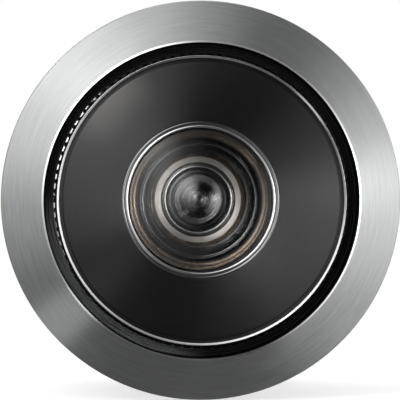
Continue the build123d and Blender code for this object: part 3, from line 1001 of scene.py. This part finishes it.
second_ring = turned(
    "second_ring_bevelled",
    BLACKENED,
    (SECOND_R, SECOND_SEAT_Y, CRISP),
    (SECOND_R, SECOND_RING_Y, 0.04, LAND),
    (SECOND_BEAD_OUT_R + RING_STEP, SECOND_RING_Y, CRISP, BRIGHT),
    *crown(
        SECOND_BEAD_OUT_R,
        SECOND_BEAD_IN_R,
        SECOND_RING_Y - SECOND_BEAD_HEIGHT,
        SECOND_BEAD_RISE,
        BRIGHT,
    ),
    (SECOND_OPENING, SECOND_RING_Y - SECOND_BEAD_HEIGHT / 2, 0.0, LAND),
    (SECOND_OPENING, SECOND_SEAT_Y, CRISP),
)
dress(second_ring, "black_anodised", "second_lens_ring")

second = turned(
    "second_lens_polished",
    GLASS,
    *arc_rows(SECOND_OPENING, SECOND_FRONT_Y, SECOND_RISE),
    (SECOND_R, SECOND_FRONT_Y, CRISP),
    (SECOND_R, SECOND_BACK_Y, CRISP),
    *arc_rows(SECOND_BOWL_R, SECOND_BACK_Y, SECOND_BOWL_DEPTH, SECOND_BOWL_ROWS)[::-1],
)
dress(second, "optical_glass", "second_lens")

third = turned(
    "third_lens_polished",
    GLASS,
    *arc_rows(THIRD_EDGE_R, THIRD_FRONT_Y, -THIRD_HOLLOW),
    (CELL_R, THIRD_FRONT_Y, CRISP),
    (CELL_R, THIRD_BACK_Y - GLASS_GAP, CRISP),
    *arc_rows(THIRD_EDGE_R, THIRD_BACK_Y - GLASS_GAP, THIRD_HOLLOW)[::-1],
)
dress(third, "optical_glass", "third_lens")


# Seals inside the front head, and the gasket against the outer face of the door

RUBBER_RINGS = {
    "housing_seal": ((THREAD_R + SEAL_GAP, HOUSING_SEAL_R), (WEB_Y, WEB_BACK_Y), (SOFT, 0.15)),
    "lens_seal": ((CELL_BORE_R + SEAL_GAP / 2, LENS_R), (SEAT_Y, SHOULDER_Y), (SOFT, SOFT)),
    "front_gasket": ((GASKET_BORE_R, FLANGE_R - GASKET_MARGIN), (FLANGE_BACK_Y, 0.0), GASKET_ROUNDS),
}
for cad_node, section in RUBBER_RINGS.items():
    moulding = square_ring(cad_node + "_moulded", RUBBER, *section)
    dress(moulding, "black_rubber", cad_node)


# Spacer behind the second lens

def groove_rows():
    """The bore of the spacer from the back to the front, with its two V grooves."""
    shape = ((0.0, GROOVE_HALF), (GROOVE_DEPTH, 0.0), (0.0, -GROOVE_HALF))
    return [(SPACER_R + out, y + along, FINE) for y in SPACER_GROOVES for out, along in shape]


spacer = turned(
    "spacer_grooved",
    BLACKENED,
    (SPACER_R, CELL_BACK_Y),
    (CELL_R, CELL_BACK_Y),
    (CELL_R, THIRD_SEAT_Y),
    (SPACER_R, THIRD_SEAT_Y),
    *groove_rows(),
)
dress(spacer, "black_anodised", "spacer_ring")


# Barrel and room tube with their screw thread

def thread_share(y, t):
    """Share of the thread's depth at each point, 0 on the crest and 1 in the root: the distance
    from the crest line, which climbs one pitch for each turn of a right-hand screw, rises in a
    straight flank between the crest's flat and the root's flat."""
    turn = (y / PITCH + t / (2 * np.pi)) % 1
    away = 1 - 2 * np.abs(turn - 0.5)
    return np.clip((away - THREAD_CREST) / (1 - THREAD_CREST - THREAD_ROOT), 0, 1)


def run_out(y, start, end):
    """Depth of the thread along its length: 0 past its ends, full one pitch inside them."""
    return np.clip((y - start) / PITCH, 0, 1) * np.clip((end - y) / PITCH, 0, 1)


def thread_rows(radius, start, end):
    """Rows along a plain wall, close enough to carry the thread."""
    count = int((end - start) / PITCH * THREAD_ROWS)
    return [(radius, y, 0.0) for y in np.linspace(start, end, count)]


def cut_thread(wall, depth, start, end, outwards=False):
    """A warp that cuts the thread into a plain wall: inwards for an outer thread, or outwards,
    where that one's crests lie, for the thread of a bore."""
    def warp(r, y, t):
        share = outwards - thread_share(y, t)
        cut = depth * share * run_out(y, start, end)
        return r + cut * (np.abs(r - wall) < ON_WALL), y, t

    return warp


barrel = turned(
    "front_barrel_threaded",
    ALUMINIUM,
    (BORE_R, FLANGE_FRONT_Y),
    (FLANGE_R, FLANGE_FRONT_Y, FLANGE_ROUND),
    (FLANGE_R, FLANGE_BACK_Y, FLANGE_ROUND),
    (BARREL_R, FLANGE_BACK_Y, SOFT),
    (BARREL_R, BARREL_END_Y - BARREL_CHAMFER, 0.08),
    (BARREL_R - BARREL_CHAMFER, BARREL_END_Y),
    *thread_rows(BORE_R, BORE_THREAD_Y, BARREL_END_Y)[::-1],
    angles=even_angles(THREAD_SEGMENTS),
    warp=cut_thread(BORE_R, BORE_THREAD_DEPTH, BORE_THREAD_Y, BARREL_END_Y + PITCH, True),
)
dress(barrel, "satin_aluminium", "front_barrel")

tube = turned(
    "room_tube_threaded",
    ALUMINIUM,
    (TUBE_BORE_R, TUBE_FRONT_Y),
    (THREAD_R - BARREL_CHAMFER, TUBE_FRONT_Y),
    *thread_rows(THREAD_R, TUBE_FRONT_Y + BARREL_CHAMFER, THREAD_END_Y),
    (THREAD_R, ROOM_FLANGE_Y + TUBE_LAP),
    (TUBE_BORE_R, ROOM_FLANGE_Y + TUBE_LAP),
    angles=even_angles(THREAD_SEGMENTS),
    warp=cut_thread(THREAD_R, THREAD_DEPTH, TUBE_FRONT_Y, THREAD_END_Y),
)
dress(tube, "satin_aluminium", "rear_barrel", body="rear_barrel")


# Flange of the room tube, baffle and eyepiece

def cross_slots(width, at_r, floor_y, inner_r, count, start=0.0):
    """Columns and warp for two slots with parallel sides across a turned piece, the first at the
    start angle. Columns go round in even steps, with close pairs on each side of a slot's edges.
    Near a slot they keep their distance from its middle line, as at the radius at_r, and points
    past the inner radius and above the floor drop to the floor."""
    half = width / 2
    beside = np.array([0.5, FLOOR_EDGE, 1.0, BESIDE_SLOT])
    edge = half / at_r
    near = edge * np.concatenate([-beside[::-1], [0.0], beside])
    free = np.linspace(CLEAR_OF_SLOT * edge, math.pi - CLEAR_OF_SLOT * edge, count)
    columns = np.concatenate([near, free, near + math.pi, free + math.pi]) + start

    def warp(r, y, t):
        t = t - start
        side = np.where(np.cos(t) >= 0, 0.0, np.pi)
        turn = (t - side + np.pi) % (2 * np.pi) - np.pi
        across = turn * at_r
        closeness = np.clip((BESIDE_SLOT * half - np.abs(across)) / (0.5 * half) + 1, 0, 1)
        straight = np.arcsin(np.clip(across / np.maximum(r, TINY), -0.9, 0.9))
        bent = turn + (straight - turn) * closeness * (r > 0.8 * inner_r)
        cut = (np.abs(across) < WALL_MIDDLE * half) & (r > inner_r) & (y > floor_y)
        return r, np.where(cut, floor_y, y), side + bent + start

    return {"angles": columns, "warp": warp}


flange = turned(
    "room_flange_slotted",
    ALUMINIUM,
    (THREAD_R - FLANGE_LAP, ROOM_FLANGE_Y),
    (ROOM_FLANGE_R, ROOM_FLANGE_Y, 0.15),
    (ROOM_FLANGE_R, ROOM_FLANGE_TOP_Y, 0.25),
    (SLOT_END_R + SLOT_END_HALF, ROOM_FLANGE_TOP_Y, 0.0),
    (SLOT_END_R - SLOT_END_HALF, ROOM_FLANGE_TOP_Y, 0.0),
    (EYE_MOUTH_R, ROOM_FLANGE_TOP_Y, 0.08),
    (EYE_POCKET_R, EYE_CONE_Y, SOFT),
    (EYE_POCKET_R, EYE_FRONT_Y, FINE),
    (EYE_SHOULDER_R, EYE_FRONT_Y),
    (EYE_SHOULDER_R, EYE_SHOULDER_Y),
    (TUBE_BORE_R + FLANGE_LAP, EYE_SHOULDER_Y, FINE),
    **cross_slots(SLOT_WIDTH, SLOT_AT_R, ROOM_FLANGE_TOP_Y - SLOT_DEPTH, SLOT_END_R, SLOT_COLUMNS),
)
dress(flange, "satin_aluminium", body="rear_barrel")


def fin_rows():
    """The baffle's inner side from the room end to the front: fins at equal steps. The last fin
    ends in the front face, so the row that would close it is left out."""
    wall = BAFFLE_R - BAFFLE_WALL
    rows = []
    for fin in reversed(range(BAFFLE_FINS)):
        y = BAFFLE_Y + fin * (EYE_SHOULDER_Y - BAFFLE_Y) / BAFFLE_FINS
        top = y + BAFFLE_FIN_WIDTH
        rows += [(wall, top), (wall - BAFFLE_FIN, top), (wall - BAFFLE_FIN, y), (wall, y)]
    return rows[:-1]


baffle = turned(
    "light_baffle_finned",
    PLASTIC,
    (BAFFLE_R, BAFFLE_Y),
    (BAFFLE_R, EYE_SHOULDER_Y),
    (BAFFLE_R - BAFFLE_WALL, EYE_SHOULDER_Y),
    *fin_rows(),
    angles=even_angles(BAFFLE_SEGMENTS),
)
dress(baffle, "black_plastic", "light_baffle", body="rear_barrel")

eye_lens = turned(
    "eyepiece_lens_polished",
    GLASS,
    *arc_rows(EYE_OPENING, EYE_FRONT_Y + GLASS_GAP, EYE_RISE),
    (EYE_R, EYE_FRONT_Y + GLASS_GAP),
    (EYE_R, EYE_BACK_Y - GLASS_GAP),
    *arc_rows(EYE_OPENING, EYE_BACK_Y - GLASS_GAP, -EYE_RISE)[::-1],
)
dress(eye_lens, "optical_glass", "eyepiece_lens", body="rear_barrel")

eye_ring = turned(
    "eyepiece_ring_notched",
    BLACKENED,
    (EYE_R, EYE_BACK_Y, 0.04),
    (EYE_R, EYE_RING_Y, 0.06),
    (EYE_OPENING + EYE_RING_BEVEL, EYE_RING_Y, 0.04),
    (EYE_OPENING, EYE_RING_Y - EYE_RING_BEVEL, 0.04),
    (EYE_OPENING, EYE_BACK_Y, 0.04),
    **cross_slots(NOTCH_WIDTH, EYE_R, EYE_RING_Y - NOTCH_DEPTH, 0.0, NOTCH_COLUMNS, math.pi / 2),
)
dress(eye_ring, "black_anodised", "eyepiece_ring", body="rear_barrel")


# Rosette with its gasket, and the boss, washer and rivet that carry the cover

ON_RIVET = {"angles": even_angles(RIVET_SEGMENTS), "centre_z": PIVOT_Z}

rear_gasket = square_ring(
    "rear_gasket_moulded",
    RUBBER,
    (GASKET_BORE_R, ROSETTE_R - GASKET_MARGIN),
    (DOOR_BACK_Y, ROSETTE_BACK_Y),
    GASKET_ROUNDS,
)
dress(rear_gasket, "black_rubber", "rear_gasket", body="rear_rosette")

rosette = turned(
    "rosette_brushed",
    STEEL,
    (BORE_R, ROSETTE_BACK_Y, 0.08),
    (ROSETTE_R, ROSETTE_BACK_Y, SOFT),
    (ROSETTE_R, ROSETTE_SIDE_Y, ROSETTE_ROUND),
    (RECESS_R + ROSETTE_LIP, ROSETTE_CREST_Y, 0.15),
    (RECESS_R, ROSETTE_CREST_Y, SOFT),
    (RECESS_R, ROOM_FLANGE_Y),
    (BORE_R, ROOM_FLANGE_Y, 0.08),
)
dress(rosette, "brushed_stainless", "rear_rosette", body="rear_rosette")

boss = turned(
    "rivet_boss",
    PLATED,
    (0.0, ROSETTE_SIDE_Y),
    (BOSS_R, ROSETTE_SIDE_Y),
    (BOSS_R, BOSS_TOP_Y, 0.2),
    (0.0, BOSS_TOP_Y),
    **ON_RIVET,
)
dress(boss, "brushed_stainless", body="rear_rosette")

washer = square_ring(
    "cover_washer_pressed",
    NYLON,
    (SHANK_R, RIVET_R),
    (BOSS_TOP_Y, COVER_FRONT_Y),
    (EDGE, 0.08),
    **ON_RIVET,
)
dress(washer, "white_nylon", "cover_washer", body="rear_rosette")

rivet = turned(
    "rivet_domed",
    PLATED,
    (0.0, BOSS_TOP_Y - SHANK_DEPTH),
    (SHANK_R, BOSS_TOP_Y - SHANK_DEPTH, SOFT),
    (SHANK_R, RIVET_FRONT_Y, FINE),
    (RIVET_R, RIVET_FRONT_Y, 0.06),
    (RIVET_R, RIVET_FRONT_Y + RIVET_SIDE, SOFT),
    (RIVET_SHOULDER_R, RIVET_TOP_Y - RIVET_SHOULDER_FALL, 0.8),
    (DIMPLE_R, RIVET_TOP_Y, 0.3),
    (0.0, RIVET_TOP_Y - DIMPLE_DEPTH),
    **ON_RIVET,
)
dress(rivet, "bright_steel", "cover_pivot", body="rear_rosette")


# Swinging cover

def circle_exit(z, radius, up):
    """Where rays from the rivet leave a circle about a point z above it; 0 where they miss it.
    Each ray is given by the height it gains over a unit of its length."""
    middle = z * up
    inside = middle ** 2 - z ** 2 + radius ** 2
    return np.where((inside > 0) & (middle > 0), middle + np.sqrt(np.maximum(inside, 0)), 0)


def cover_reach(angle):
    """Distance from the rivet to the cover's outline at each angle. It is the farthest of four
    exits of the ray: the ear's circle, the lines that touch both ear and disc, the disc, and
    the thumb tab, a strip with a round end."""
    across, up = np.cos(angle), np.sin(angle)
    slope = math.asin((COVER_R - EAR_R) / PIVOT_Z)
    touch = math.atan2(COVER_R * math.sin(slope) - PIVOT_Z, COVER_R * math.cos(slope))
    folded = np.arctan2(up, np.abs(across))
    line = EAR_R / np.maximum(np.cos(folded - slope), TINY)
    line = np.where((folded > touch) & (folded < slope), line, 0)
    side = TAB_HALF / np.maximum(np.abs(across), TINY)
    below = side * up
    side = np.where((up < 0) & (below < -PIVOT_Z) & (below > TAB_END_Z - PIVOT_Z), side, 0)
    tab = np.maximum(circle_exit(TAB_END_Z - PIVOT_Z, TAB_HALF, up), side)
    disc = circle_exit(-PIVOT_Z, COVER_R, up)
    return np.maximum.reduce([np.full_like(angle, EAR_R), line, disc, tab])


def cover_outline(step):
    """Points of the outline at equal steps along it, with the outward normals."""
    fine = np.linspace(0, 2 * np.pi, OUTLINE_SAMPLES)
    line = cover_reach(fine)[:, None] * np.stack([np.cos(fine), np.sin(fine)], 1)
    along = np.concatenate([[0], np.cumsum(np.hypot(*np.diff(line, axis=0).T))])
    count = int(along[-1] / step)
    places = np.arange(count) * along[-1] / count
    points = np.stack([np.interp(places, along, side) for side in line.T], 1)
    tangent = np.roll(points, -1, 0) - np.roll(points, 1, 0)
    tangent /= np.hypot(*tangent.T)[:, None]
    return points, np.stack([tangent[:, 1], -tangent[:, 0]], 1)


def cover_plate(name, finish, lining):
    """The flat cover: rings of points go from the rivet hole over the lined front face to the
    outline, round its edge by inset and height, and back over the room face to the hole."""
    outline, normal = cover_outline(OUTLINE_STEP)
    hole = outline / np.hypot(*outline.T)[:, None] * COVER_HOLE_R

    def face(inset, shares, y):
        edge = outline - normal * inset
        return [(hole + (edge - hole) * share, y) for share in shares]

    rim = [(COVER_EDGE, COVER_FRONT_Y), (0.0, COVER_FRONT_Y + COVER_EDGE)]
    for angle in np.linspace(0, np.pi / 2, ARC_STEPS + 1):
        inset, fall = COVER_ROUND * (1 - math.cos(angle)), COVER_ROUND * (1 - math.sin(angle))
        rim.append((inset, COVER_BACK_Y - fall))
    front = face(COVER_EDGE, (0.0, 0.1, 0.5), COVER_FRONT_Y)
    back = face(COVER_ROUND, (0.5, 0.1, 0.0), COVER_BACK_Y)
    rings = front + [(outline - normal * inset, y) for inset, y in rim] + back
    grid = np.array([np.stack([p[:, 0], 0 * p[:, 0] + y, p[:, 1] + PIVOT_Z], 1) for p, y in rings])
    rows, columns = grid.shape[:2]
    faces = band_quads(rows, columns, True).reshape(-1, 4).tolist()
    lined = np.arange(rows)[:, None].repeat(columns, 1) < len(front)
    mesh = smooth_mesh(name, grid.reshape(-1, 3) * MM, faces, (finish, lining), lined)
    mesh.set_sharp_from_angle(angle=SHARP_ANGLE)
    return linked(name, mesh)


plate = cover_plate("cover_plate", STEEL, BLACKENED)
dress(plate, "brushed_stainless", "privacy_cover", body="privacy_cover")

panel = turned(
    "cover_panel",
    STEEL,
    (0.0, COVER_BACK_Y - PANEL_LAP),
    (PANEL_R, COVER_BACK_Y - PANEL_LAP, FINE),
    (PANEL_R, COVER_BACK_Y, FINE),
    (PANEL_R - PANEL_RISE, COVER_BACK_Y + PANEL_RISE, 0.2),
    (0.0, COVER_BACK_Y + PANEL_RISE),
)
dress(panel, "brushed_stainless", body="privacy_cover")


# Stage: pale floor, white surroundings, lamps and camera. Its lengths are metres.

FLOOR_HALF = 3.0
FLOOR_COLOUR = (0.88, 0.88, 0.88, 1.0)
FLOOR_LIFT = 0.5
FLOOR_FADE = (0.05, 0.22)

# Strength of the surroundings in front and behind, and the span over which it changes
WORLD_STRENGTH = (0.02, 0.6)
WORLD_SPAN = (-0.3, 0.7)

# Each lamp has a name, a clock angle, a tilt from the sight line, a power and, if small, a size
LAMP_DISTANCE = 0.9
SOFTBOX = 0.8
SPOT = 0.3
LAMPS = (
    ("softbox_high_left", 120, 40, 5.7),
    ("softbox_right", 0, 40, 5.0),
    ("softbox_left", 150, 40, 4.0),
    ("softbox_high_right", 30, 60, 2.4),
    ("softbox_low_right", 330, 40, 2.3),
    ("softbox_inner_left", 150, 20, 2.0),
    ("softbox_top", 90, 60, 1.9),
    ("spot_right", 5, 38, 1.25, SPOT),
    ("softbox_upper_right", 60, 60, 1.0),
    ("softbox_side_left", 180, 40, 1.0),
    ("softbox_inner_low_left", 210, 20, 0.9),
    ("spot_left", 128, 16, 0.35, SPOT),
    ("softbox_low", 270, 60, 0.4),
    ("softbox_low_left", 240, 60, 0.3),
    ("softbox_overhead", 90, 95, 3.0),
    ("softbox_room_left", 140, 140, 4.0),
    ("softbox_room_right", 20, 130, 3.0),
)

CAMERA_DISTANCE = 0.6
CAMERA_AZIMUTH = math.radians(-2.8)
CAMERA_ELEVATION = math.radians(0.8)
FRAME_WIDTH = 0.050168
AIM = (-0.000054, -0.00155, 0.000025)


def white(tree, kind, strength):
    """White light of this strength, from an Emission or a Background node."""
    return node(tree, kind, {"Color": (1.0, 1.0, 1.0, 1.0), "Strength": strength}).outputs[0]


def stage_floor():
    """A wide pale floor under the lowest point of the object. Near the object it is a lit surface
    that keeps the shadow, and with distance it turns to the white of the surroundings."""
    made = bpy.data.materials.new("pale_floor")
    made.use_nodes = True
    tree = made.node_tree
    tree.nodes.clear()
    place = node(tree, "TexCoord").outputs["Object"]
    share = smooth_step(tree, vector_math(tree, "LENGTH", place), *FLOOR_FADE)
    seen = node(tree, "LightPath").outputs["Is Camera Ray"]
    pale = node(tree, "BsdfDiffuse", {"Color": FLOOR_COLOUR}).outputs[0]
    lift = white(tree, "Emission", times(tree, seen, FLOOR_LIFT))
    near = node(tree, "AddShader", {0: pale, 1: lift}).outputs[0]
    far = white(tree, "Emission", 1.0)
    choice = {0: times(tree, share, seen), 1: near, 2: far}
    chosen = node(tree, "MixShader", choice).outputs[0]
    node(tree, "OutputMaterial", {0: chosen})

    level = CAD_BOX[0][2]
    sides = ((-1, -1), (1, -1), (1, 1), (-1, 1))
    corners = [(x * FLOOR_HALF, y * FLOOR_HALF, level) for x, y in sides]
    floor = linked("floor", smooth_mesh("floor", corners, [(0, 1, 2, 3)], [made], np.zeros(1)))
    floor.visible_glossy = False
    floor.visible_transmission = False
    floor.visible_shadow = False


def stage_world():
    """White surroundings for the camera; metal and glass mirror a room that is dim on the
    visitor's side and brightens smoothly towards the room side."""
    world = bpy.data.worlds.new("surroundings")
    world.use_nodes = True
    tree = world.node_tree
    tree.nodes.clear()
    place = node(tree, "TexCoord").outputs["Generated"]
    along = node(tree, "SeparateXYZ", {0: place}).outputs["Y"]
    strength = smooth_step(tree, along, *WORLD_SPAN, *WORLD_STRENGTH)
    seen = node(tree, "LightPath").outputs["Is Camera Ray"]
    room, plain = white(tree, "Background", strength), white(tree, "Background", 1.0)
    chosen = node(tree, "MixShader", {0: seen, 1: room, 2: plain}).outputs[0]
    node(tree, "OutputWorld", {0: chosen})
    bpy.context.scene.world = world


def area_light(name, shape, size, power):
    """An area light with its object, which the camera doesn't see."""
    light = bpy.data.lights.new(name, "AREA")
    light.shape = shape
    light.size = size
    light.energy = power
    box = linked(name, light)
    box.visible_camera = False
    return light, box


def strip_lamp(name, clock, tilt, width, length, power):
    """A narrow hard-edged strip whose long side lies in the plane through the sight line."""
    light, box = area_light(name, "RECTANGLE", width, power)
    light.size_y = length
    away = np.array(direction(clock, tilt))
    across = np.array(direction(clock + 90))
    turn = np.stack([across, np.cross(away, across), away], 1)
    box.matrix_world = Matrix.Translation(away * LAMP_DISTANCE) @ Matrix(turn.tolist()).to_4x4()


def lamp(name, clock, tilt, power, size=SOFTBOX):
    """A round softbox aimed at the dish. Its cloth glows most in the middle and fades to nothing
    at the rim: (1 - (distance / radius)^2)^2."""
    light, box = area_light(name, "DISK", size, power)
    light.use_nodes = True
    tree = light.node_tree
    place = node(tree, "NewGeometry").outputs["Parametric"]
    offset = vector_math(tree, "DISTANCE", place, (0.5, 0.5, 0.0))
    square = math_node(tree, "POWER", times(tree, offset, 2.0), 2.0)
    inside = math_node(tree, "MAXIMUM", math_node(tree, "SUBTRACT", 1.0, square), 0.0)
    glow = next(n for n in tree.nodes if n.type == "EMISSION")
    fill(tree, glow, {"Strength": math_node(tree, "POWER", inside, 2.0)})
    box.location = np.array(direction(clock, tilt)) * LAMP_DISTANCE
    box.rotation_euler = (-box.location).to_track_quat("-Z", "Y").to_euler()


def stage_camera():
    """A camera a few degrees to the left and a little above, whose frame the bezel fills."""
    camera = bpy.data.cameras.new("camera")
    camera.lens = camera.sensor_width * CAMERA_DISTANCE / FRAME_WIDTH
    camera.clip_start = 0.01
    view = linked("camera", camera)
    a, e = CAMERA_AZIMUTH, CAMERA_ELEVATION
    away = np.array([math.sin(a) * math.cos(e), -math.cos(a) * math.cos(e), math.sin(e)])
    view.location = np.array(AIM) + away * CAMERA_DISTANCE
    view.rotation_euler = (math.pi / 2 - e, 0.0, a)
    bpy.context.scene.camera = view


stage_floor()
stage_world()
for settings in LAMPS:
    lamp(*settings)
strip_lamp("strip_low_left", 223, 48, width=0.17, length=0.26, power=0.22)
stage_camera()
bpy.context.scene.view_settings.view_transform = "Standard"
